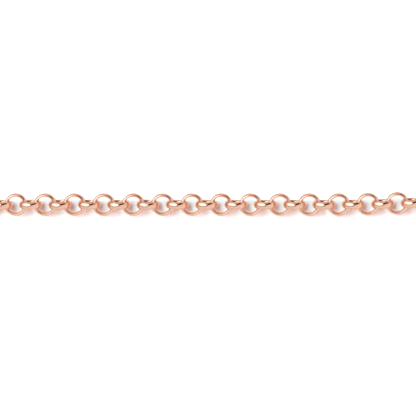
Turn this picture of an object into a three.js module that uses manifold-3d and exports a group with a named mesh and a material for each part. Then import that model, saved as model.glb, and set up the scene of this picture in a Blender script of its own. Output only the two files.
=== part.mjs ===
// A rose-gold rolo chain necklace, unfastened and laid open on a table.
//
// Millimetres, +Z up. The table is z = 0. The origin is the point where the middle link of the
// chain touches the table. The front of the necklace runs along X; both ends curve back towards +Y.
//
// Links are numbered outwards from the middle link. Even links stand upright, odd links lie level,
// so each link passes through the next. The front links are separate solids. Further out, past the
// stretch that hangs at the throat, four links at a time are joined into one run.
import * as THREE from "three";
import { mergeVertices } from "three/addons/utils/BufferGeometryUtils.js";
import Module from "manifold-3d";

// Link
const LINK_RADIUS = 2.6; // outside
const BAND_THICKNESS = 0.85; // from the flat inside to the crown of the dome
const BAND_WIDTH = 1.62;
const INSIDE_HALF = 0.4; // half-width of the flat inside, between its two broken edges
const EDGE_RISE = 0.25; // how far the broken edges rise from the flat inside
const CROWN_HALF = 0.3; // half-width of the flat crown
const PITCH = 3.317; // from one link's centre to the next
const HINGE_REACH = 2.26; // from a link's centre to the point in its wall where the next link swings

// Lay of the chain
const FRONT_LINKS = 15; // separate links on each side of the middle one
const RUNS = 10; // joined runs on each side, after the front links
const RUN_LINKS = 4;
const DRIFT_FROM = 8; // the right-hand front starts to lean back after this link
const DRIFT_TURN = 0.45; // degrees that each of those links turns
const ARM_TURN = 4.28; // degrees that each link of a run turns
const FILL_INSIDE = 1.3; // inside radius of a run's two middle links, which join it up

// Facets
const LINK_SIDES = 12;
const RUN_SIDES = 8;
const WIRE_SIDES = 8;
const WIRE_STEPS = 20;
const SEGMENTS = { frame: 10, eye: 8, lever: 8, nub: 7, bore: 5 }; // along each curve of an outline
const MERGE_WITHIN = 1e-5; // points this close are one point

// Jump rings and end ring, of round wire
const JUMP_RADIUS = 2.5;
const JUMP_WIRE = 0.9;
const JUMP_PITCH = 3.15; // from the last link's centre to the jump ring's centre
const END_RADIUS = 3.7;
const END_WIRE = 1.2;
const END_NEAR = new THREE.Vector3(0.3, 0, 1.65); // its wire's centre inside the jump ring

// Lobster clasp, along x from the centre of its jump ring
const CLASP_THICKNESS = 3.2;
const TAIL_X = 1.7; // the eye that the jump ring passes through
const TAIL_OUTER = 2.0;
const TAIL_INNER = 1.12;
const TAIL_THICKNESS = 1.0;
const BRIDGE = { from: 3.1, half: 1.0 }; // joins the eye to the neck
const NECK = { x: 4.4, radius: 1.7 };
const BOWL = { x: 10.9, radius: 3.7 };
const MOUTH = { x: 11.0, radius: 2.15 };
const THROAT = { x: 8.9, radius: 1.1 };
const GATE_CLEARANCE = 0.15;
const GATE_TIP_ANGLE = 70; // where the lever's gate ends, degrees round the bowl
const GATE_FROM = 7.3; // where the bowl's open side begins
const CUT_PAST = 1.0; // how far a cut that goes right through runs past both faces
const SLOT = { from: 4.4, to: 7.9, low: 0.55, high: 2.65 }; // the lever's slot through the neck
const PIVOT = { x: 6.3, y: 0.5 };
const LEVER = { low: 0.7, high: 2.1 };
const LEVER_EYE = 1.1;
const LEVER_WIDTH = 1.05;
const LEVER_ROOT = { half: 0.3, top: 1.0, bottom: -0.7 }; // where the gate joins the eye, from the pivot
const SHANK = { root: 0.6, end: 0.5 }; // half-widths of the shank between the eye and the nub
const PIN_RADIUS = 0.45;
const PIN_CLEARANCE = 0.1;
const PIN_RECESS = 0.05; // how far the pin's ends lie below the clasp's faces
const NUB = { x: 6.1, y: -3.1, radius: 0.75 };
const SPRING = { radius: 0.75, wire: 0.2, turns: 2, low: 2.27, rise: 0.24, sides: 5, steps: 22 };

const wasm = await Module();
wasm.setup();

const roseGold = () => new THREE.MeshStandardMaterial({ color: 0xf0b496, metalness: 1, roughness: 0.12 });
const springSteel = () => new THREE.MeshStandardMaterial({ color: 0xb8b8bc, metalness: 1, roughness: 0.3 });

const necklace = new THREE.Group();

function addPart(name, geometry, material) {
  const mesh = new THREE.Mesh(geometry, material);
  mesh.name = name;
  necklace.add(mesh);
}

// ---- solids ----

function toSolid(geometry) {
  const bare = geometry.clone();
  bare.deleteAttribute("normal");
  bare.deleteAttribute("uv");
  const merged = mergeVertices(bare, MERGE_WITHIN);
  const vertProperties = new Float32Array(merged.attributes.position.array);
  const triVerts = new Uint32Array(merged.index.array);
  return new wasm.Manifold(new wasm.Mesh({ numProp: 3, vertProperties, triVerts }));
}

function toGeometry(solid) {
  const mesh = solid.getMesh();
  const geometry = new THREE.BufferGeometry();
  geometry.setAttribute("position", new THREE.BufferAttribute(mesh.vertProperties, 3));
  geometry.setIndex(new THREE.BufferAttribute(mesh.triVerts, 1));
  return geometry;
}

const join = (geometries) => geometries.map(toSolid).reduce((whole, piece) => whole.add(piece));

function cut(solid, geometries) {
  return geometries.map(toSolid).reduce((whole, piece) => whole.subtract(piece), solid);
}

// The section of the band, as [radius, distance along the ring's axis].
function bandSection() {
  const inside = LINK_RADIUS - BAND_THICKNESS;
  return [
    [inside, -INSIDE_HALF],
    [inside + EDGE_RISE, -BAND_WIDTH / 2],
    [LINK_RADIUS, -CROWN_HALF],
    [LINK_RADIUS, CROWN_HALF],
    [inside + EDGE_RISE, BAND_WIDTH / 2],
    [inside, INSIDE_HALF],
  ];
}

// The plainer and thicker section of a run's two middle links, which reach each other and the two
// outer links.
function fillSection() {
  return [
    [FILL_INSIDE, -BAND_WIDTH / 2],
    [LINK_RADIUS, -CROWN_HALF],
    [LINK_RADIUS, CROWN_HALF],
    [FILL_INSIDE, BAND_WIDTH / 2],
  ];
}

// A ring of a section, around Y. A flat side of it faces down, and its flat sides are tangent to the
// true circles, so the opening is never smaller than the round link's.
function ring(section, sides) {
  const stretch = 1 / Math.cos(Math.PI / sides);
  const closed = [...section, section[0]];
  const points = closed.map(([radius, along]) => new THREE.Vector2(radius * stretch, along));
  return new THREE.LatheGeometry(points, sides, Math.PI / sides);
}

// A ring of round wire, around Y.
function wireRing(radius, wire) {
  const points = [];
  for (let k = 0; k <= WIRE_SIDES; k += 1) {
    const angle = (2 * Math.PI * k) / WIRE_SIDES + Math.PI / WIRE_SIDES;
    const reach = radius - wire / 2 + (Math.cos(angle) * wire) / 2;
    points.push(new THREE.Vector2(reach, (Math.sin(angle) * wire) / 2));
  }
  return new THREE.LatheGeometry(points, WIRE_STEPS, Math.PI / WIRE_STEPS);
}

// A flat plate of a given outline, between two heights.
function plate(shape, low, high, curveSegments = SEGMENTS.frame) {
  const options = { depth: high - low, bevelEnabled: false, curveSegments };
  return new THREE.ExtrudeGeometry(shape, options).translate(0, 0, low);
}

// A plate that runs past both faces of the clasp, to cut right through it.
function throughPlate(shape, curveSegments) {
  return plate(shape, -CUT_PAST, CLASP_THICKNESS + CUT_PAST, curveSegments);
}

// The outline round two circles on the x axis, the second one the larger.
function pearShape(small, large) {
  const lean = Math.asin((large.radius - small.radius) / (large.x - small.x));
  const upper = Math.PI / 2 + lean;
  const shape = new THREE.Shape();
  shape.absarc(large.x, 0, large.radius, -upper, upper, false);
  shape.absarc(small.x, 0, small.radius, upper, 2 * Math.PI - upper, false);
  shape.closePath();
  return shape;
}

function discShape(x, y, radius) {
  return new THREE.Shape().absarc(x, y, radius, 0, 2 * Math.PI, false);
}

function polygonShape(corners) {
  return new THREE.Shape(corners.map(([x, y]) => new THREE.Vector2(x, y)));
}

// ---- lay of the chain ----

// Where each link of one side lies, from the middle link outwards. side is 1 to the right and -1 to
// the left. heading is the direction in which the chain goes on, measured anticlockwise from +X.
function laySide(side) {
  const last = FRONT_LINKS + RUNS * RUN_LINKS;
  const places = [{ x: 0, y: 0, heading: side > 0 ? 0 : Math.PI }];
  for (let number = 1; number <= last; number += 1) {
    const before = places[number - 1];
    let turn = 0;
    if (number > FRONT_LINKS) turn = ARM_TURN;
    else if (side > 0 && number > DRIFT_FROM) turn = DRIFT_TURN;
    const heading = before.heading + side * THREE.MathUtils.degToRad(turn);
    const onward = PITCH - HINGE_REACH;
    places.push({
      x: before.x + HINGE_REACH * Math.cos(before.heading) + onward * Math.cos(heading),
      y: before.y + HINGE_REACH * Math.sin(before.heading) + onward * Math.sin(heading),
      heading,
    });
  }
  return places;
}

// A link in its place. Even links stand upright and odd links lie level.
function placedLink(number, place, section, sides) {
  const link = ring(section, sides);
  if (number % 2 === 1) link.rotateX(Math.PI / 2);
  return link.rotateZ(place.heading).translate(place.x, place.y, LINK_RADIUS);
}

// Moves a geometry modelled along x from the chain's last link out to the chain's end.
function atEnd(geometry, last) {
  const x = last.x + JUMP_PITCH * Math.cos(last.heading);
  const y = last.y + JUMP_PITCH * Math.sin(last.heading);
  return geometry.rotateZ(last.heading).translate(x, y, 0);
}

const padded = (number) => String(number).padStart(2, "0");

function makeSide(side, label) {
  const places = laySide(side);
  for (let number = 1; number <= FRONT_LINKS; number += 1) {
    const link = placedLink(number, places[number], bandSection(), LINK_SIDES);
    addPart(`link_${label}_${padded(number)}`, link, roseGold());
  }
  for (let run = 0; run < RUNS; run += 1) {
    const rings = [];
    for (let k = 0; k < RUN_LINKS; k += 1) {
      const number = FRONT_LINKS + run * RUN_LINKS + k + 1;
      const isMiddle = k > 0 && k < RUN_LINKS - 1;
      const section = isMiddle ? fillSection() : bandSection();
      rings.push(placedLink(number, places[number], section, RUN_SIDES));
    }
    addPart(`chain_run_${label}_${padded(run + 1)}`, toGeometry(join(rings)), roseGold());
  }
  return places[places.length - 1];
}

// ---- lobster clasp ----

const middle = CLASP_THICKNESS / 2;

// The end of the gate that lies closest to the hook.
function gateTip() {
  const angle = THREE.MathUtils.degToRad(GATE_TIP_ANGLE);
  const radius = BOWL.radius - GATE_CLEARANCE;
  return { x: BOWL.x + radius * Math.cos(angle), y: radius * Math.sin(angle) };
}

// The open side of the bowl. Its far edge is an arc round the lever's pivot, which the gate's tip
// passes as it swings in.
function gateOpening() {
  const tip = gateTip();
  const reach = Math.hypot(tip.x - PIVOT.x, tip.y - PIVOT.y) + GATE_CLEARANCE;
  const shape = new THREE.Shape();
  shape.absarc(PIVOT.x, PIVOT.y, reach, -Math.asin(PIVOT.y / reach), Math.PI / 4, false);
  shape.lineTo(GATE_FROM, 2 * BOWL.radius);
  shape.lineTo(GATE_FROM, 0);
  shape.closePath();
  return shape;
}

function claspBody() {
  const frame = pearShape(NECK, BOWL);
  const tail = discShape(TAIL_X, 0, TAIL_OUTER);
  const bridge = polygonShape([
    [BRIDGE.from, -BRIDGE.half],
    [NECK.x, -BRIDGE.half],
    [NECK.x, BRIDGE.half],
    [BRIDGE.from, BRIDGE.half],
  ]);
  const slot = polygonShape([
    [SLOT.from, -BOWL.radius],
    [SLOT.to, -BOWL.radius],
    [SLOT.to, BOWL.radius],
    [SLOT.from, BOWL.radius],
  ]);
  const solid = join([
    plate(frame, 0, CLASP_THICKNESS),
    plate(tail, middle - TAIL_THICKNESS / 2, middle + TAIL_THICKNESS / 2, SEGMENTS.eye),
    plate(bridge, middle - TAIL_THICKNESS / 2, middle + TAIL_THICKNESS / 2),
  ]);
  const opened = cut(solid, [
    throughPlate(pearShape(THROAT, MOUTH)),
    throughPlate(gateOpening()),
    plate(slot, SLOT.low, SLOT.high),
    throughPlate(discShape(TAIL_X, 0, TAIL_INNER), SEGMENTS.eye),
    throughPlate(discShape(PIVOT.x, PIVOT.y, PIN_RADIUS + PIN_CLEARANCE), SEGMENTS.bore),
  ]);
  return toGeometry(opened);
}

// The lever: an eye on the pin, a gate that closes the mouth against the hook's tip, and a nub on
// the other side that a fingernail pulls back.
function claspLever() {
  const tip = THREE.MathUtils.degToRad(GATE_TIP_ANGLE);
  const lean = Math.asin((BOWL.radius - NECK.radius) / (BOWL.x - NECK.x));
  const outer = BOWL.radius - GATE_CLEARANCE;
  const gate = new THREE.Shape();
  gate.moveTo(PIVOT.x - LEVER_ROOT.half, PIVOT.y + LEVER_ROOT.top);
  gate.lineTo(PIVOT.x + LEVER_ROOT.half, PIVOT.y + LEVER_ROOT.bottom);
  gate.absarc(BOWL.x, 0, outer - LEVER_WIDTH, Math.PI / 2 + lean, tip, true);
  gate.absarc(BOWL.x, 0, outer, tip, Math.PI / 2 + lean, false);
  gate.closePath();
  const shank = polygonShape([
    [PIVOT.x - SHANK.root, PIVOT.y],
    [NUB.x - SHANK.end, NUB.y],
    [NUB.x + SHANK.end, NUB.y],
    [PIVOT.x + SHANK.root, PIVOT.y],
  ]);
  const solid = join([
    plate(discShape(PIVOT.x, PIVOT.y, LEVER_EYE), LEVER.low, LEVER.high, SEGMENTS.lever),
    plate(gate, LEVER.low, LEVER.high, SEGMENTS.lever),
    plate(shank, LEVER.low, LEVER.high),
    plate(discShape(NUB.x, NUB.y, NUB.radius), LEVER.low, LEVER.high, SEGMENTS.nub),
  ]);
  const bore = discShape(PIVOT.x, PIVOT.y, PIN_RADIUS + PIN_CLEARANCE);
  return toGeometry(cut(solid, [throughPlate(bore, SEGMENTS.bore)]));
}

function claspPin() {
  const outline = discShape(PIVOT.x, PIVOT.y, PIN_RADIUS);
  return plate(outline, PIN_RECESS, CLASP_THICKNESS - PIN_RECESS, SEGMENTS.bore);
}

// The spring is wound round the pin, above the lever's eye.
class Coil extends THREE.Curve {
  getPoint(t, target = new THREE.Vector3()) {
    const angle = 2 * Math.PI * SPRING.turns * t;
    target.set(Math.cos(angle), Math.sin(angle), 0).multiplyScalar(SPRING.radius);
    return target.add(new THREE.Vector3(PIVOT.x, PIVOT.y, SPRING.low + SPRING.rise * t));
  }
}

function claspSpring() {
  const corners = [];
  for (let k = 0; k < SPRING.sides; k += 1) {
    const angle = (2 * Math.PI * k) / SPRING.sides;
    corners.push([(Math.cos(angle) * SPRING.wire) / 2, (Math.sin(angle) * SPRING.wire) / 2]);
  }
  return new THREE.ExtrudeGeometry(polygonShape(corners), { steps: SPRING.steps, extrudePath: new Coil() });
}

necklace.name = "chain_necklace";
addPart("link_middle", placedLink(0, { x: 0, y: 0, heading: 0 }, bandSection(), LINK_SIDES), roseGold());
const rightEnd = makeSide(1, "right");
const leftEnd = makeSide(-1, "left");

for (const [name, end] of [["clasp_jump_ring", rightEnd], ["end_jump_ring", leftEnd]]) {
  addPart(name, atEnd(wireRing(JUMP_RADIUS, JUMP_WIRE).translate(0, 0, JUMP_RADIUS), end), roseGold());
}
addPart("clasp_body", atEnd(claspBody(), rightEnd), roseGold());
addPart("clasp_lever", atEnd(claspLever(), rightEnd), roseGold());
addPart("clasp_pin", atEnd(claspPin(), rightEnd), roseGold());
addPart("clasp_spring", atEnd(claspSpring(), rightEnd), springSteel());

// The end ring leans: its near side hangs in the jump ring and its far side rests on the table.
const endReach = END_RADIUS - END_WIRE / 2;
const endLean = Math.asin((END_NEAR.z - END_WIRE / 2) / (2 * endReach));
const endRing = wireRing(END_RADIUS, END_WIRE).rotateX(Math.PI / 2).translate(endReach, 0, 0);
endRing.rotateY(endLean).translate(END_NEAR.x, END_NEAR.y, END_NEAR.z);
addPart("end_ring", atEnd(endRing, leftEnd), roseGold());

export default necklace;
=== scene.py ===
"""The chain necklace's looks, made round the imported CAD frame. Metres, +Z up, table at z = 0.

Lengths are in millimetres up to the moment a mesh is made, and MM turns them into metres. Every
link, ring and clasp piece stands for its CAD node and rides on that node's body.
"""
import math
import random

import bmesh
import bpy
from mathutils import Matrix, Vector


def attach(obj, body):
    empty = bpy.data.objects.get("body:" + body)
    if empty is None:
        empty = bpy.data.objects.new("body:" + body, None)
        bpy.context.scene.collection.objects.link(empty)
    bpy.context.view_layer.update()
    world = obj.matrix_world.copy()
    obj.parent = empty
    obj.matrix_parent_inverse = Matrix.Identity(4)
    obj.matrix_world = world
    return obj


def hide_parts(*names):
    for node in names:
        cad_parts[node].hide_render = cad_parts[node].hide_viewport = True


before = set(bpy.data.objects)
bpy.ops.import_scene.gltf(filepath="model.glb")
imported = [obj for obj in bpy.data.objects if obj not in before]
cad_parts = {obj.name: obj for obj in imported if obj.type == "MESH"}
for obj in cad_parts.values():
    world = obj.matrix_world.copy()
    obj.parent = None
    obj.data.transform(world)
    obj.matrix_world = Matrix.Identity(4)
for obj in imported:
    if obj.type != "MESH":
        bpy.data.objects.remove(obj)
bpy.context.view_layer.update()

MM = 0.001
SEED = 7

# ---- driving dimensions, in millimetres, as in the CAD model unless a comment says otherwise ----

# Links
LINK_RADIUS = 2.6  # outside
BAND_THICKNESS = 0.80  # 0.05 less than in the CAD, so that the round bands clear each other
BAND_WIDTH = 1.62
EDGE_ALONG = 0.48  # how far the broken inside edges reach along the band's width (0.41 in the CAD)
EDGE_RISE = 0.28  # and how far they rise from the flat inside (0.25 in the CAD)
EDGE_BEND = 1.8  # how they curve on the way: 1 is a straight bevel, as in the CAD

# Lay of the chain
PITCH = 3.317  # from one link's centre to the next
HINGE_REACH = 2.26  # from a link's centre to the point in its wall where the next link swings
FRONT_LINKS = 15  # single links on each side of the middle one
RUNS = 10  # runs of links past them, on each side
RUN_LINKS = 4
DRIFT_FROM = 8  # past this link, the right side of the front bends by DRIFT_TURN degrees a link
DRIFT_TURN = 0.45
ARM_TURN = 4.28  # degrees that the arms turn at each link

# How far a link may lie off its exact place in the CAD
LEAN = 1.6  # degrees about the chain's line
YAW = 1.8  # degrees about the upright
NOD = 1.2  # degrees about the line across the chain, for the level links
SLIDE = 0.015  # along the chain
FRONT_SHARE = 0.8  # the front links lie off by up to this share of it
ARM_SHARE = 0.2  # and those of the arms by up to this one

# Jump rings and end ring
JUMP_RADIUS = 2.5
JUMP_WIRE = 0.9
JUMP_PITCH = 3.15  # from the last link's centre to the jump ring's centre
BUTT_GAP = 0.02  # radians that a jump ring's butt joint is open
BUTT_TURN = 65  # degrees round the jump ring to its joint
END_RADIUS = 3.7
END_WIRE = 1.2
END_NEAR = (0.3, 0.0, 1.65)  # its wire's centre inside the jump ring

# Lobster clasp, along x from the centre of its jump ring
CLASP_THICKNESS = 3.2
TAIL_X = 1.7  # the eye that the jump ring passes through
TAIL_OUTER = 2.0
TAIL_INNER = 1.12
TAIL_THICKNESS = 1.0
BRIDGE_FROM, BRIDGE_HALF = 3.1, 1.0  # joins the eye to the neck
NECK = (4.4, 1.7)  # (centre, radius)
BOWL = (10.9, 3.7)
MOUTH = (11.0, 2.15)
THROAT = (8.9, 1.1)
GATE_CLEARANCE = 0.15
GATE_TIP_ANGLE = 70  # where the lever's gate ends, degrees round the bowl
GATE_FROM = 7.3  # where the bowl's open side begins
CUT_PAST = 1.0  # how far a cut that goes right through runs past both faces
SLOT_FROM, SLOT_TO = 4.4, 7.9  # the lever's slot through the neck
SLOT_LOW, SLOT_HIGH = 0.55, 2.65
PIVOT = (6.3, 0.5)
LEVER_LOW, LEVER_HIGH = 0.7, 2.1
LEVER_EYE = 1.1
LEVER_WIDTH = 1.05
ROOT_HALF, ROOT_TOP, ROOT_BOTTOM = 0.3, 1.0, -0.7  # where the gate joins the eye, from the pivot
SHANK_ROOT, SHANK_END = 0.6, 0.5  # half-widths of the shank between the eye and the nub
PIN_RADIUS = 0.45
PIN_CLEARANCE = 0.1
PIN_RECESS = 0.05  # how far the pin's ends lie below the clasp's faces
NUB = (6.1, -3.1, 0.75)  # (x, y, radius)
SPRING_RADIUS, SPRING_WIRE = 0.75, 0.2
SPRING_TURNS, SPRING_LOW, SPRING_RISE = 2, 2.27, 0.24

# ---- surface detail ----
LINK_STEPS = 72  # round the ring
EDGE_STEPS = 5  # up each broken edge
DOME_STEPS = 14  # over the dome
FLAT_STEPS = 4  # across the flat inside
SEAM_DEPTH = 0.012  # the soldered joint in each link
SEAM_REACH = 0.012  # radians that the joint reaches to each side
WIRE_STEPS, WIRE_SIDES = 72, 20
END_STEPS, END_SIDES = 96, 24
SPRING_STEPS, SPRING_SIDES = 96, 12
DISC_STEPS = 48
SMALL_ARC_STEPS = 24
GATE_STEPS = 20
OPENING_STEPS = 40
PIN_SIDES = 32
PIN_DOME = ((0.0, 0.0), (0.25, 0.01), (0.38, 0.05), (PIN_RADIUS, 0.14))  # (radius, depth) at its ends
BEVEL_WIDTH = 1.05  # the roundness of the clasp's outer edges
BEVEL_STEPS = 8
BEVEL_ANGLE = 50  # edges sharper than this many degrees are rounded
VOXEL = 0.09  # the clasp's castings are remeshed at this size, which rounds their edges
SMOOTHING_SHARE = 0.5  # how far each point moves towards its neighbours' middle at a time
BODY_SMOOTHING = 5  # times
LEVER_SMOOTHING = 4

# ---- tones and gloss ----
TONE_FROM, TONE_TO = 0.3, 0.7  # a surface turns from one tone to the other between these noises
GOLD_TONES = ((0.93, 0.545, 0.385), (0.96, 0.6, 0.44))
GOLD_ROUGHNESS = (0.04, 0.1)
CLOUD_SCALE = 420.0  # a noise's scale is how many of its spots fit in a metre
HAZE_SCALE = 1500.0
MARK_SCALE = 2600.0
MARK_SQUEEZE = 6.0  # the marks are this many times narrower along y
MARK_STRENGTH = 0.05
MARK_DEPTH = 0.00001  # metres
STEEL_TONES = ((0.42, 0.42, 0.43), (0.56, 0.56, 0.57))
STEEL_ROUGHNESS = (0.22, 0.4)
GRAIN_SCALE = 3000.0

# ---- view ----
VIEW_TILT = 8.5  # degrees that the camera leans from straight overhead towards the back
LENS = 200.0
SENSOR = 36.0
VIEW_WIDTH = 94.1  # what the view takes in from side to side, at the links' height
VIEW_CENTRE = (0.32, -0.79)
CLIP = (0.01, 20)  # metres

# ---- lights, cards and floor ----
# Each thing stands (rightwards, backwards) degrees from overhead, and its size is half its width and
# height as angles seen from the necklace. What the softbox gives adds to the sky behind it.
STUDIO_REACH = 1.6  # metres from the necklace to the lights and the softbox's rim
SOFTBOX_FROM = (-41, 31)
SOFTBOX_HALF = (35, 46)
SOFTBOX_RADIANCE = 1.15
SOFTBOX_TINT = (0.25, 0.68, 1.0)
SOFTBOX_RIM = 18  # degrees of dim frame round it
SOFTBOX_RIM_GLOW = (0.5, 0.37, 0.28)
CARD_REACH = 1.0  # metres from the necklace to the dark card
CARD_FROM = (28, 46)
CARD_HALF = (20, 29)
CARD_ROLL = -18
CARD_GLOW = (0.05, 0.012, 0.008)
KEY_FROM = (-29, 28)
KEY_HALF = (24, 28)
KEY_RADIANCE = 13.0
KEY_TINT = (0.55, 0.94, 1.0)
FILL_FROM = (0, 10)
FILL_HALF = (50, 50)
FILL_RADIANCE = 1.8
FILL_TINT = (1.0, 0.43, 0.34)
RIM_STEPS = 64
SKY_RADIANCE = 0.93
GROUND_TINT = (0.78, 0.72, 0.69)
HORIZON = (-0.15, 0.1)  # the heights, of a direction 1 long, between which ground turns to sky
FLOOR_HALF = 1.5  # metres
FLOOR_ALBEDO = 0.8
FLOOR_UNEVENNESS = 0.005
FLOOR_GRAIN = 60.0
FLOOR_ROUGHNESS = 0.9
FLOOR_GLOSS = 0.1


# ---- camera ----


def make_camera():
    data = bpy.data.cameras.new("camera")
    data.lens = LENS
    data.sensor_width = SENSOR
    data.clip_start, data.clip_end = CLIP
    camera = bpy.data.objects.new("camera", data)
    bpy.context.scene.collection.objects.link(camera)
    distance = VIEW_WIDTH * LENS / SENSOR
    lean = math.radians(VIEW_TILT)
    target = Vector((VIEW_CENTRE[0], VIEW_CENTRE[1], LINK_RADIUS))
    away = Vector((0, math.sin(lean), math.cos(lean)))
    camera.location = (target + away * distance) * MM
    camera.rotation_euler = (-lean, 0, 0)
    bpy.context.scene.camera = camera


make_camera()


# ---- materials ----


def add_node(tree, kind, **values):
    node = tree.nodes.new(kind)
    for name, value in values.items():
        if name in node.inputs:
            node.inputs[name].default_value = value
        else:
            setattr(node, name, value)
    return node


def set_ramp(ramp, stops):
    elements = ramp.color_ramp.elements
    while len(elements) > len(stops):
        elements.remove(elements[-1])
    while len(elements) < len(stops):
        elements.new(0.5)
    for element, (position, colour) in zip(elements, stops):
        element.position = position
        element.color = (*colour, 1)


def new_material(name, metallic):
    material = bpy.data.materials.new(name)
    material.use_nodes = True
    shader = material.node_tree.nodes["Principled BSDF"]
    shader.inputs["Metallic"].default_value = metallic
    return material, material.node_tree, shader


def vary_colour(tree, shader, noise, tones):
    """Lets the surface's colour follow a noise from one tone to another."""
    tint = add_node(tree, "ShaderNodeValToRGB")
    set_ramp(tint, [(TONE_FROM, tones[0]), (TONE_TO, tones[1])])
    tree.links.new(noise.outputs["Fac"], tint.inputs["Fac"])
    tree.links.new(tint.outputs["Color"], shader.inputs["Base Color"])


def vary_roughness(tree, shader, noise, reach):
    """Lets the surface's roughness follow a noise over its reach."""
    rough = add_node(tree, "ShaderNodeMapRange")
    rough.inputs["To Min"].default_value, rough.inputs["To Max"].default_value = reach
    tree.links.new(noise.outputs["Fac"], rough.inputs["Value"])
    tree.links.new(rough.outputs["Result"], shader.inputs["Roughness"])


def rose_gold():
    """Polished rose gold: cloudy colour 2 mm across, a haze of polish marks, fine scratches."""
    material, tree, shader = new_material("rose_gold", 1.0)
    link = tree.links.new
    place = add_node(tree, "ShaderNodeTexCoord")
    cloud = add_node(tree, "ShaderNodeTexNoise", Scale=CLOUD_SCALE, Detail=3.0)
    link(place.outputs["Object"], cloud.inputs["Vector"])
    vary_colour(tree, shader, cloud, GOLD_TONES)
    haze = add_node(tree, "ShaderNodeTexNoise", Scale=HAZE_SCALE, Detail=4.0)
    link(place.outputs["Object"], haze.inputs["Vector"])
    vary_roughness(tree, shader, haze, GOLD_ROUGHNESS)
    squeeze = add_node(tree, "ShaderNodeMapping")
    squeeze.inputs["Scale"].default_value = (1.0, MARK_SQUEEZE, 1.0)
    link(place.outputs["Object"], squeeze.inputs["Vector"])
    marks = add_node(tree, "ShaderNodeTexNoise", Scale=MARK_SCALE, Detail=2.0)
    link(squeeze.outputs["Vector"], marks.inputs["Vector"])
    bump = add_node(tree, "ShaderNodeBump", Strength=MARK_STRENGTH, Distance=MARK_DEPTH)
    link(marks.outputs["Fac"], bump.inputs["Height"])
    link(bump.outputs["Normal"], shader.inputs["Normal"])
    return material


def spring_steel():
    """Drawn wire: grey, with a fine grain in its colour and gloss."""
    material, tree, shader = new_material("spring_steel", 1.0)
    place = add_node(tree, "ShaderNodeTexCoord")
    grain = add_node(tree, "ShaderNodeTexNoise", Scale=GRAIN_SCALE, Detail=3.0)
    tree.links.new(place.outputs["Object"], grain.inputs["Vector"])
    vary_colour(tree, shader, grain, STEEL_TONES)
    vary_roughness(tree, shader, grain, STEEL_ROUGHNESS)
    return material


ROSE_GOLD = rose_gold()
SPRING_STEEL = spring_steel()


# ---- meshes ----


def new_piece(name, verts, faces, material=None):
    """A smooth mesh object from points in millimetres."""
    mesh = bpy.data.meshes.new(name)
    mesh.from_pydata([Vector(v) * MM for v in verts], [], faces)
    mesh.update()
    piece = bpy.data.objects.new(name, mesh)
    bpy.context.scene.collection.objects.link(piece)
    mesh.materials.append(material or ROSE_GOLD)
    for polygon in mesh.polygons:
        polygon.use_smooth = True
    return piece


def stands_for(piece, node, body):
    """Puts a piece in the place of a CAD node and on its body."""
    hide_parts(node)
    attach(piece, body)


def grid_faces(rows, columns, first=0):
    """The faces of a closed torus of rows x columns points."""
    faces = []
    for r in range(rows):
        for c in range(columns):
            across = (c + 1) % columns
            onward = (r + 1) % rows
            faces.append((
                first + r * columns + c,
                first + onward * columns + c,
                first + onward * columns + across,
                first + r * columns + across,
            ))
    return faces


def band_outline():
    """The link's half-round section, as (height above the flat inside, distance along its width)."""
    half = BAND_WIDTH / 2
    flat = half - EDGE_ALONG
    points = [(0.0, flat - 2 * flat * k / FLAT_STEPS) for k in range(FLAT_STEPS)]
    for k in range(EDGE_STEPS):
        share = k / EDGE_STEPS
        points.append((EDGE_RISE * share**EDGE_BEND, -flat - EDGE_ALONG * share))
    dome = BAND_THICKNESS - EDGE_RISE
    for k in range(DOME_STEPS):
        turn = math.pi * k / DOME_STEPS
        points.append((EDGE_RISE + dome * math.sin(turn), -half * math.cos(turn)))
    for k in range(EDGE_STEPS):
        share = 1 - k / EDGE_STEPS
        points.append((EDGE_RISE * share**EDGE_BEND, flat + EDGE_ALONG * share))
    return points


def ring_angles(seam):
    """(angle, depth) round a link, with a groove of three close steps at its soldered joint."""
    angles = [(seam + 2 * math.pi * k / LINK_STEPS, 0.0) for k in range(1, LINK_STEPS)]
    return [(seam - SEAM_REACH, 0.0), (seam, SEAM_DEPTH), (seam + SEAM_REACH, 0.0)] + angles


def link_points(placing, seam):
    """One link's points, in millimetres. Its own axis is Z, and placing puts it where it lies."""
    outline = band_outline()
    inside = LINK_RADIUS - BAND_THICKNESS
    centre = BAND_THICKNESS / 2
    rows = ring_angles(seam)
    verts = []
    for angle, depth in rows:
        for rise, along in outline:
            radius = inside + centre + (rise - centre) * (1 - depth / centre)
            x = radius * math.cos(angle)
            y = radius * math.sin(angle)
            verts.append(placing @ Vector((x, y, along * (1 - depth))))
    return verts, len(rows), len(outline)


def wire_points(placing, radius, wire, steps, sides, gap=0.0):
    """A ring of round wire about Z. gap is the angle at which its butt joint is open, if it has one."""
    verts = []
    for k in range(steps):
        share = k / (steps - 1) if gap else k / steps
        angle = gap / 2 + (2 * math.pi - gap) * share
        for c in range(sides):
            turn = 2 * math.pi * c / sides
            reach = radius - wire / 2 + wire / 2 * math.cos(turn)
            x = reach * math.cos(angle)
            y = reach * math.sin(angle)
            verts.append(placing @ Vector((x, y, wire / 2 * math.sin(turn))))
    faces = grid_faces(steps, sides)
    if gap:
        faces = faces[: (steps - 1) * sides]
        faces.append(tuple(range(sides)))
        faces.append(tuple(range(steps * sides - 1, (steps - 1) * sides - 1, -1)))
    return verts, faces


# ---- lay of the chain ----


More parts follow.
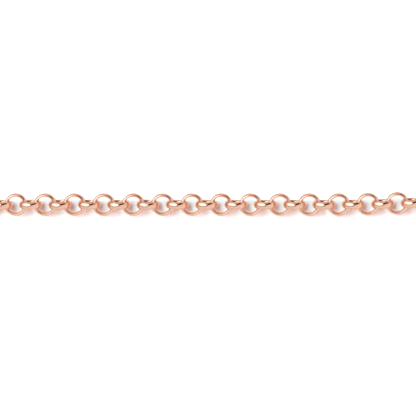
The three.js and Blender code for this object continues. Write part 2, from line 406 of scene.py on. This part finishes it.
def lay_side(side):
    """Where each link lies, from the middle link outwards: (x, y, heading)."""
    places = [(0.0, 0.0, 0.0 if side > 0 else math.pi)]
    for number in range(1, FRONT_LINKS + RUNS * RUN_LINKS + 1):
        x, y, before = places[-1]
        turn = 0.0
        if number > FRONT_LINKS:
            turn = ARM_TURN
        elif side > 0 and number > DRIFT_FROM:
            turn = DRIFT_TURN
        heading = before + side * math.radians(turn)
        onward = PITCH - HINGE_REACH
        x += HINGE_REACH * math.cos(before) + onward * math.cos(heading)
        y += HINGE_REACH * math.sin(before) + onward * math.sin(heading)
        places.append((x, y, heading))
    return places


def placing_link(number, place):
    """Puts a link in its place, with the small lean and turn that a chain laid by hand has."""
    x, y, heading = place
    share = FRONT_SHARE if number <= FRONT_LINKS else ARM_SHARE
    lean = math.radians(random.uniform(-LEAN, LEAN)) * share
    yaw = math.radians(random.uniform(-YAW, YAW)) * share
    nod = math.radians(random.uniform(-NOD, NOD)) * share
    slide = random.uniform(-SLIDE, SLIDE) * share
    centre = Matrix.Translation((x, y, LINK_RADIUS)) @ Matrix.Rotation(heading + yaw, 4, "Z")
    nudge = Matrix.Translation((slide, 0, 0)) @ Matrix.Rotation(lean, 4, "X")
    if number % 2 == 0:
        return centre @ nudge @ Matrix.Rotation(math.pi / 2, 4, "X")
    return centre @ nudge @ Matrix.Rotation(nod, 4, "Y")


def make_links(name, numbers, places):
    """One piece of one link, or of a run of links."""
    verts = []
    faces = []
    for number in numbers:
        seam = random.uniform(0, 2 * math.pi)
        points, rows, columns = link_points(placing_link(number, places[number]), seam)
        faces += grid_faces(rows, columns, len(verts))
        verts += points
    return new_piece(name, verts, faces)


def make_side(side, label):
    """Makes the links of one side and says where the last of them lies."""
    places = lay_side(side)
    for number in range(1, FRONT_LINKS + 1):
        node = f"link_{label}_{number:02d}"
        stands_for(make_links(f"gold_{node}", [number], places), node, node)
    for run in range(RUNS):
        node = f"chain_run_{label}_{run + 1:02d}"
        first = FRONT_LINKS + run * RUN_LINKS + 1
        numbers = range(first, first + RUN_LINKS)
        stands_for(make_links(f"gold_{node}", numbers, places), node, node)
    return places[-1]


def at_end(last):
    """The placing of what is modelled along x from the jump ring at a chain's end."""
    x, y, heading = last
    x += JUMP_PITCH * math.cos(heading)
    y += JUMP_PITCH * math.sin(heading)
    return Matrix.Translation((x, y, 0)) @ Matrix.Rotation(heading, 4, "Z")


random.seed(SEED)
stands_for(make_links("gold_link_middle", [0], lay_side(1)), "link_middle", "link_middle")
right_end = at_end(make_side(1, "right"))
left_end = at_end(make_side(-1, "left"))

# ---- jump rings and end ring ----


def jump_ring(name, end):
    """An upright ring of round wire with a butt joint."""
    upright = end @ Matrix.Translation((0, 0, JUMP_RADIUS)) @ Matrix.Rotation(math.pi / 2, 4, "X")
    turned = upright @ Matrix.Rotation(math.radians(BUTT_TURN), 4, "Z")
    verts, faces = wire_points(turned, JUMP_RADIUS, JUMP_WIRE, WIRE_STEPS, WIRE_SIDES, BUTT_GAP)
    return new_piece(name, verts, faces)


def end_ring():
    """A closed ring that leans from its jump ring down to the table."""
    reach = END_RADIUS - END_WIRE / 2
    lean = math.asin((END_NEAR[2] - END_WIRE / 2) / (2 * reach))
    near = left_end @ Matrix.Translation(END_NEAR) @ Matrix.Rotation(lean, 4, "Y")
    centre = near @ Matrix.Translation((reach, 0, 0))
    verts, faces = wire_points(centre, END_RADIUS, END_WIRE, END_STEPS, END_SIDES)
    return new_piece("gold_end_ring", verts, faces)


for node, end in (("clasp_jump_ring", right_end), ("end_jump_ring", left_end)):
    stands_for(jump_ring(f"gold_{node}", end), node, node)
stands_for(end_ring(), "end_ring", "end_ring")

# ---- lobster clasp ----


def arc(x, y, radius, start, stop, steps):
    """The points of an arc about (x, y), from one angle to another."""
    turns = [start + (stop - start) * k / steps for k in range(steps + 1)]
    return [(x + radius * math.cos(t), y + radius * math.sin(t)) for t in turns]


def disc(x, y, radius, steps=DISC_STEPS):
    return arc(x, y, radius, 0, 2 * math.pi, steps)[:-1]


def pear(small, large):
    """The outline round two circles on the x axis, each given as (centre, radius)."""
    lean = math.asin((large[1] - small[1]) / (large[0] - small[0]))
    upper = math.pi / 2 + lean
    big = arc(large[0], 0, large[1], -upper, upper, DISC_STEPS)
    return big + arc(small[0], 0, small[1], upper, 2 * math.pi - upper, SMALL_ARC_STEPS)


def rectangle(x0, y0, x1, y1):
    return [(x0, y0), (x1, y0), (x1, y1), (x0, y1)]


def plate(outline, low, high):
    """A flat-faced mesh object in millimetres, between two heights."""
    mesh = bpy.data.meshes.new("plate")
    bm = bmesh.new()
    bottom = [bm.verts.new((x, y, low)) for x, y in outline]
    top = [bm.verts.new((x, y, high)) for x, y in outline]
    bm.faces.new(list(reversed(bottom)))
    bm.faces.new(top)
    for k in range(len(outline)):
        onward = (k + 1) % len(outline)
        bm.faces.new((bottom[k], bottom[onward], top[onward], top[k]))
    bm.to_mesh(mesh)
    bm.free()
    thing = bpy.data.objects.new("plate", mesh)
    bpy.context.scene.collection.objects.link(thing)
    return thing


def settle(thing):
    """Applies a thing's modifiers to its mesh."""
    bpy.context.view_layer.update()
    graph = bpy.context.evaluated_depsgraph_get()
    mesh = bpy.data.meshes.new_from_object(thing.evaluated_get(graph))
    thing.modifiers.clear()
    thing.data = mesh


def combine(thing, other, operation):
    """Joins another thing to this one, or cuts it away, and removes it."""
    modifier = thing.modifiers.new(operation, "BOOLEAN")
    modifier.operation = operation
    modifier.object = other
    modifier.solver = "EXACT"
    settle(thing)
    bpy.data.objects.remove(other)


def cast(thing, name, placing, smoothing):
    """Rounds a solid's edges as a casting's are, and makes it a piece where placing puts it."""
    remesh = thing.modifiers.new("remesh", "REMESH")
    remesh.mode = "VOXEL"
    remesh.voxel_size = VOXEL
    smooth = thing.modifiers.new("smooth", "SMOOTH")
    smooth.factor = SMOOTHING_SHARE
    smooth.iterations = smoothing
    settle(thing)
    verts = [placing @ v.co for v in thing.data.vertices]
    faces = [tuple(p.vertices) for p in thing.data.polygons]
    bpy.data.objects.remove(thing)
    return new_piece(name, verts, faces)


MIDDLE = CLASP_THICKNESS / 2
GATE_TIP = (
    BOWL[0] + (BOWL[1] - GATE_CLEARANCE) * math.cos(math.radians(GATE_TIP_ANGLE)),
    (BOWL[1] - GATE_CLEARANCE) * math.sin(math.radians(GATE_TIP_ANGLE)),
)


def gate_opening():
    """The outline of the gap in the bowl that the lever's gate closes."""
    reach = math.hypot(GATE_TIP[0] - PIVOT[0], GATE_TIP[1] - PIVOT[1]) + GATE_CLEARANCE
    start = -math.asin(PIVOT[1] / reach)
    edge = arc(PIVOT[0], PIVOT[1], reach, start, math.pi / 4, OPENING_STEPS)
    return edge + [(GATE_FROM, 2 * BOWL[1]), (GATE_FROM, 0)]


def clasp_body():
    """The pear-shaped body with its eye, mouth and pin bore, and the slot that the lever turns in."""
    body = plate(pear(NECK, BOWL), 0.0, CLASP_THICKNESS)
    bevel = body.modifiers.new("bevel", "BEVEL")
    bevel.width = BEVEL_WIDTH
    bevel.segments = BEVEL_STEPS
    bevel.limit_method = "ANGLE"
    bevel.angle_limit = math.radians(BEVEL_ANGLE)
    settle(body)
    eye_low = MIDDLE - TAIL_THICKNESS / 2
    eye_high = MIDDLE + TAIL_THICKNESS / 2
    bridge = rectangle(BRIDGE_FROM, -BRIDGE_HALF, NECK[0], BRIDGE_HALF)
    for outline in (disc(TAIL_X, 0, TAIL_OUTER), bridge):
        combine(body, plate(outline, eye_low, eye_high), "UNION")
    for outline in (
        pear(THROAT, MOUTH),
        gate_opening(),
        disc(TAIL_X, 0, TAIL_INNER),
        disc(PIVOT[0], PIVOT[1], PIN_RADIUS + PIN_CLEARANCE),
    ):
        combine(body, plate(outline, -CUT_PAST, CLASP_THICKNESS + CUT_PAST), "DIFFERENCE")
    slot = rectangle(SLOT_FROM, -BOWL[1], SLOT_TO, BOWL[1])
    combine(body, plate(slot, SLOT_LOW, SLOT_HIGH), "DIFFERENCE")
    return cast(body, "gold_clasp_body", right_end, BODY_SMOOTHING)


def clasp_lever():
    """The lever: an eye on the pin, a gate that closes the bowl, and a nub to push."""
    tip = math.radians(GATE_TIP_ANGLE)
    lean = math.asin((BOWL[1] - NECK[1]) / (BOWL[0] - NECK[0]))
    outer = BOWL[1] - GATE_CLEARANCE
    root = math.pi / 2 + lean
    gate = [
        (PIVOT[0] - ROOT_HALF, PIVOT[1] + ROOT_TOP),
        (PIVOT[0] + ROOT_HALF, PIVOT[1] + ROOT_BOTTOM),
    ]
    gate += arc(BOWL[0], 0, outer - LEVER_WIDTH, root, tip, GATE_STEPS)
    gate += arc(BOWL[0], 0, outer, tip, root, GATE_STEPS)
    shank = [
        (PIVOT[0] - SHANK_ROOT, PIVOT[1]),
        (NUB[0] - SHANK_END, NUB[1]),
        (NUB[0] + SHANK_END, NUB[1]),
        (PIVOT[0] + SHANK_ROOT, PIVOT[1]),
    ]
    lever = plate(disc(PIVOT[0], PIVOT[1], LEVER_EYE), LEVER_LOW, LEVER_HIGH)
    for outline in (gate, shank, disc(*NUB)):
        combine(lever, plate(outline, LEVER_LOW, LEVER_HIGH), "UNION")
    bore = disc(PIVOT[0], PIVOT[1], PIN_RADIUS + PIN_CLEARANCE)
    combine(lever, plate(bore, 0.0, CLASP_THICKNESS), "DIFFERENCE")
    return cast(lever, "gold_clasp_lever", right_end, LEVER_SMOOTHING)


def clasp_pin():
    """A short pin with softly domed ends."""
    low, high = PIN_RECESS, CLASP_THICKNESS - PIN_RECESS
    profile = [(radius, low + depth) for radius, depth in PIN_DOME]
    profile += [(radius, high - depth) for radius, depth in reversed(PIN_DOME)]
    rings = profile[1:-1]
    verts = [(PIVOT[0], PIVOT[1], low)]
    for radius, z in rings:
        verts += [(x, y, z) for x, y in disc(PIVOT[0], PIVOT[1], radius, PIN_SIDES)]
    verts.append((PIVOT[0], PIVOT[1], high))
    last = 1 + (len(rings) - 1) * PIN_SIDES
    faces = []
    for k in range(PIN_SIDES):
        onward = (k + 1) % PIN_SIDES
        faces.append((0, 1 + onward, 1 + k))
        for first in range(1, last, PIN_SIDES):
            above = first + PIN_SIDES
            faces.append((first + k, first + onward, above + onward, above + k))
        faces.append((len(verts) - 1, last + k, last + onward))
    return new_piece("gold_clasp_pin", [right_end @ Vector(v) for v in verts], faces)


def clasp_spring():
    """A coil round the pin, on top of the lever."""
    verts = []
    for k in range(SPRING_STEPS + 1):
        share = k / SPRING_STEPS
        turn = 2 * math.pi * SPRING_TURNS * share
        height = SPRING_LOW + SPRING_RISE * share
        for c in range(SPRING_SIDES):
            side = 2 * math.pi * c / SPRING_SIDES
            reach = SPRING_RADIUS + SPRING_WIRE / 2 * math.cos(side)
            x = PIVOT[0] + reach * math.cos(turn)
            y = PIVOT[1] + reach * math.sin(turn)
            verts.append(right_end @ Vector((x, y, height + SPRING_WIRE / 2 * math.sin(side))))
    last = SPRING_STEPS * SPRING_SIDES
    faces = grid_faces(SPRING_STEPS + 1, SPRING_SIDES)[:last]
    faces.append(tuple(range(SPRING_SIDES)))
    faces.append(tuple(range(last + SPRING_SIDES - 1, last - 1, -1)))
    return new_piece("steel_clasp_spring", verts, faces, SPRING_STEEL)


stands_for(clasp_body(), "clasp_body", "clasp")
stands_for(clasp_lever(), "clasp_lever", "clasp_lever")
stands_for(clasp_pin(), "clasp_pin", "clasp")
stands_for(clasp_spring(), "clasp_spring", "clasp")


# ---- studio ----


def sheet_corners(width, height):
    """The corners of a flat sheet, from half its width and height."""
    return [(x, y, 0) for x, y in rectangle(-width, -height, width, height)]


def make_floor():
    mesh = bpy.data.meshes.new("floor")
    mesh.from_pydata(sheet_corners(FLOOR_HALF, FLOOR_HALF), [], [(0, 1, 2, 3)])
    floor = bpy.data.objects.new("floor", mesh)
    bpy.context.scene.collection.objects.link(floor)
    material, tree, shader = new_material("floor", 0.0)
    shader.inputs["Roughness"].default_value = FLOOR_ROUGHNESS
    shader.inputs["Specular IOR Level"].default_value = FLOOR_GLOSS
    place = add_node(tree, "ShaderNodeTexCoord")
    grain = add_node(tree, "ShaderNodeTexNoise", Scale=FLOOR_GRAIN, Detail=2.0)
    tree.links.new(place.outputs["Object"], grain.inputs["Vector"])
    dim = FLOOR_ALBEDO - FLOOR_UNEVENNESS
    light = FLOOR_ALBEDO + FLOOR_UNEVENNESS
    vary_colour(tree, shader, grain, ((dim, dim, dim), (light, light, light)))
    mesh.materials.append(material)
    floor.visible_glossy = False


def facing(direction, distance):
    """The placing of a flat thing that faces the necklace from (rightwards, backwards) degrees."""
    right, back = (math.radians(degrees) for degrees in direction)
    away = Vector((
        math.sin(right),
        math.sin(back) * math.cos(right),
        math.cos(back) * math.cos(right),
    ))
    return Matrix.Translation(away * distance) @ away.to_track_quat("Z", "Y").to_matrix().to_4x4()


def seen_size(half, distance):
    """Half the width and height of a flat thing that is seen at these half angles."""
    return [distance * math.tan(math.radians(degrees)) for degrees in half]


def make_light(name, direction, half, radiance, tint):
    """An oval area light that the camera doesn't see."""
    width, height = seen_size(half, STUDIO_REACH)
    data = bpy.data.lights.new(name, "AREA")
    data.shape = "ELLIPSE"
    data.size = 2 * width
    data.size_y = 2 * height
    data.energy = radiance * math.pi * math.pi * width * height
    data.color = tint
    light = bpy.data.objects.new(name, data)
    light.matrix_world = facing(direction, STUDIO_REACH)
    bpy.context.scene.collection.objects.link(light)
    light.visible_camera = False
    return light


def make_card(name, verts, faces, placing, glow):
    """A dim card for the metal to reflect. It isn't seen itself and throws no shade."""
    mesh = bpy.data.meshes.new(name)
    mesh.from_pydata(verts, [], faces)
    card = bpy.data.objects.new(name, mesh)
    bpy.context.scene.collection.objects.link(card)
    card.matrix_world = placing
    material, _, shader = new_material(name, 0.0)
    shader.inputs["Base Color"].default_value = (0, 0, 0, 1)
    shader.inputs["Specular IOR Level"].default_value = 0
    shader.inputs["Emission Color"].default_value = (*glow, 1)
    shader.inputs["Emission Strength"].default_value = 1
    mesh.materials.append(material)
    card.visible_camera = False
    card.visible_diffuse = False
    card.visible_shadow = False


def make_softbox_rim():
    """The dim frame that edges the softbox's reflection."""
    inner = seen_size(SOFTBOX_HALF, STUDIO_REACH)
    outer = seen_size([half + SOFTBOX_RIM for half in SOFTBOX_HALF], STUDIO_REACH)
    verts = []
    faces = []
    for k in range(RIM_STEPS):
        turn = 2 * math.pi * k / RIM_STEPS
        for width, height in (inner, outer):
            verts.append((width * math.cos(turn), height * math.sin(turn), 0))
        onward = (k + 1) % RIM_STEPS
        faces.append((2 * k, 2 * k + 1, 2 * onward + 1, 2 * onward))
    make_card("softbox_rim", verts, faces, facing(SOFTBOX_FROM, STUDIO_REACH), SOFTBOX_RIM_GLOW)


def make_dark_card():
    """The card that gives the links their dark patches."""
    corners = sheet_corners(*seen_size(CARD_HALF, CARD_REACH))
    placing = facing(CARD_FROM, CARD_REACH) @ Matrix.Rotation(math.radians(CARD_ROLL), 4, "Z")
    make_card("dark_card", corners, [(0, 1, 2, 3)], placing, CARD_GLOW)


def make_world():
    """A white sky over a warmer ground. The metal reflects it, but it doesn't light the floor."""
    world = bpy.data.worlds.new("studio")
    world.use_nodes = True
    tree = world.node_tree
    place = add_node(tree, "ShaderNodeTexCoord")
    split = add_node(tree, "ShaderNodeSeparateXYZ")
    tree.links.new(place.outputs["Generated"], split.inputs["Vector"])
    shade = add_node(tree, "ShaderNodeMapRange")
    shade.inputs["From Min"].default_value, shade.inputs["From Max"].default_value = HORIZON
    tree.links.new(split.outputs["Z"], shade.inputs["Value"])
    tint = add_node(tree, "ShaderNodeValToRGB")
    set_ramp(tint, [(0.0, GROUND_TINT), (1.0, (SKY_RADIANCE, SKY_RADIANCE, SKY_RADIANCE))])
    tree.links.new(shade.outputs["Result"], tint.inputs["Fac"])
    tree.links.new(tint.outputs["Color"], tree.nodes["Background"].inputs["Color"])
    world.cycles_visibility.diffuse = False
    bpy.context.scene.world = world


make_floor()

# Of the three lights, the metal reflects only the softbox, and only the key and the fill light
# the floor.
softbox = make_light("softbox", SOFTBOX_FROM, SOFTBOX_HALF, SOFTBOX_RADIANCE, SOFTBOX_TINT)
softbox.visible_diffuse = False
key = make_light("key", KEY_FROM, KEY_HALF, KEY_RADIANCE, KEY_TINT)
key.visible_glossy = False
fill = make_light("fill", FILL_FROM, FILL_HALF, FILL_RADIANCE, FILL_TINT)
fill.visible_glossy = False
make_softbox_rim()
make_dark_card()
make_world()
bpy.context.scene.view_settings.view_transform = "Standard"
